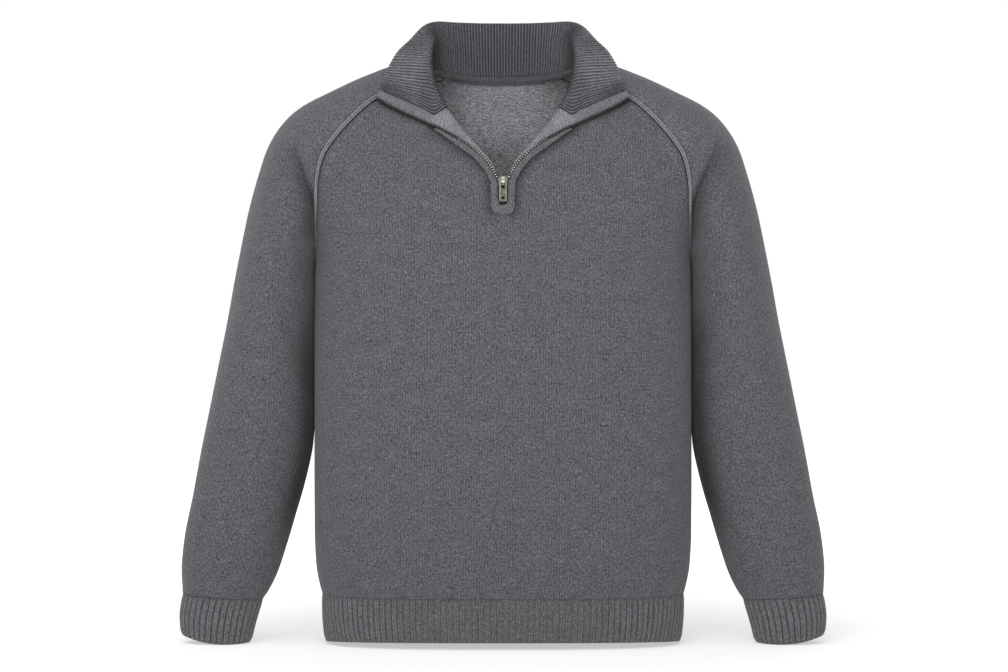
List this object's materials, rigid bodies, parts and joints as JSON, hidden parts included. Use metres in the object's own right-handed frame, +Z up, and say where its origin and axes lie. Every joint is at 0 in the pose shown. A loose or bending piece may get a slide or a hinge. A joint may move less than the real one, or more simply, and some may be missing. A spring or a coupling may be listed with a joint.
{
  "type": "quarter-zip raglan sweater",
  "caption": "Hollow knitted pullover with raglan sleeves, a ribbed collar folded open over a short zip, and ribbed cuffs and hem, filled out as worn.",
  "frame": {"origin": "on the middle plane, where the wearer's neck and shoulders hold the sweater up, at the height of the back neck seam's ends", "axes": "+Z up towards the neck, -Y out of the sweater's front, +X towards the wearer's left"},
  "size_m": [0.7746, 0.2393, 0.748],
  "materials": {
    "merino_jersey": "fine heathered grey wool jersey",
    "merino_rib": "grey wool rib knit",
    "plain_knit_band": "smooth grey knit binding",
    "zip_tape": "dark grey woven tape with fine teeth",
    "antique_nickel": "antiqued cast metal"
  },
  "bodies": {
    "sweater": {"back_panel": "merino_jersey", "front_panel": "merino_jersey", "sleeve_left": "merino_jersey", "sleeve_right": "merino_jersey", "collar": "merino_rib", "hem_rib": "merino_rib", "cuff_left": "merino_rib", "cuff_right": "merino_rib", "placket_band": "plain_knit_band", "zip_facing_left": "plain_knit_band", "zip_facing_right": "plain_knit_band", "raglan_ridge_front_left": "plain_knit_band", "raglan_ridge_front_right": "plain_knit_band", "raglan_ridge_back_left": "plain_knit_band", "raglan_ridge_back_right": "plain_knit_band", "zip_tape_left": "zip_tape", "zip_tape_right": "zip_tape", "zip_chain_left": "zip_tape", "zip_chain_right": "zip_tape", "slider": "antique_nickel"},
    "tab": {"pull_tab": "antique_nickel"}
  },
  "joints": [
    {"name": "pull_tab_hinge", "type": "hinge", "parent": "sweater", "child": "tab", "pos_m": [0, -0.10807, -0.11594], "axis": [-1, 0, 0], "range_deg": [0, 115]}
  ]
}
